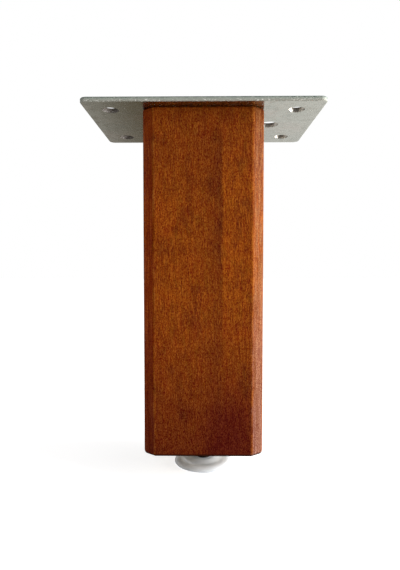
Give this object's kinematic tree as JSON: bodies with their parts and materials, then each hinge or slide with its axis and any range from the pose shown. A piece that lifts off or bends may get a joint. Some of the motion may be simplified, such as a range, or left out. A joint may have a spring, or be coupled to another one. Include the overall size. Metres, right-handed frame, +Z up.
{
  "type": "wooden furniture leg",
  "caption": "Square hardwood furniture leg with chamfered corners, a steel mounting plate with corner screw holes on top and a screw-adjusted plastic foot below.",
  "frame": {"origin": "on the floor, under the middle of the foot pad, on the leg's upright axis", "axes": "+Z up along the leg, +X along the mounting plate's long side towards its side hole, +Y along its short side"},
  "size_m": [0.102, 0.064, 0.1645],
  "materials": {
    "stained_wood": "reddish-brown stain under a satin clear coat",
    "zinc_plate": "zinc plated, softly reflecting",
    "zinc_screw": "bright zinc plated",
    "zinc_insert": "zinc plated",
    "dark_stud": "dark oiled steel",
    "white_pad": "smooth moulded white plastic"
  },
  "bodies": {
    "leg": {"leg_post": "stained_wood", "mounting_plate": "zinc_plate", "plate_screws": "zinc_screw", "threaded_insert": "zinc_insert"},
    "foot": {"foot_pad": "white_pad"},
    "stud": {"levelling_stud": "dark_stud"}
  },
  "joints": [
    {"name": "foot_height", "type": "slide", "parent": "leg", "child": "foot", "axis": [0, 0, -1], "range_m": [-0.004, 0.012]},
    {"name": "stud_turn", "type": "hinge", "parent": "foot", "child": "stud", "pos_m": [0, 0, 0.002], "axis": [0, 0, -1], "range_deg": [-1152, 3456]}
  ],
  "couplings": [
    {"joint": "foot_height", "follows": "stud_turn", "m_per_rad": 0.00019894}
  ]
}
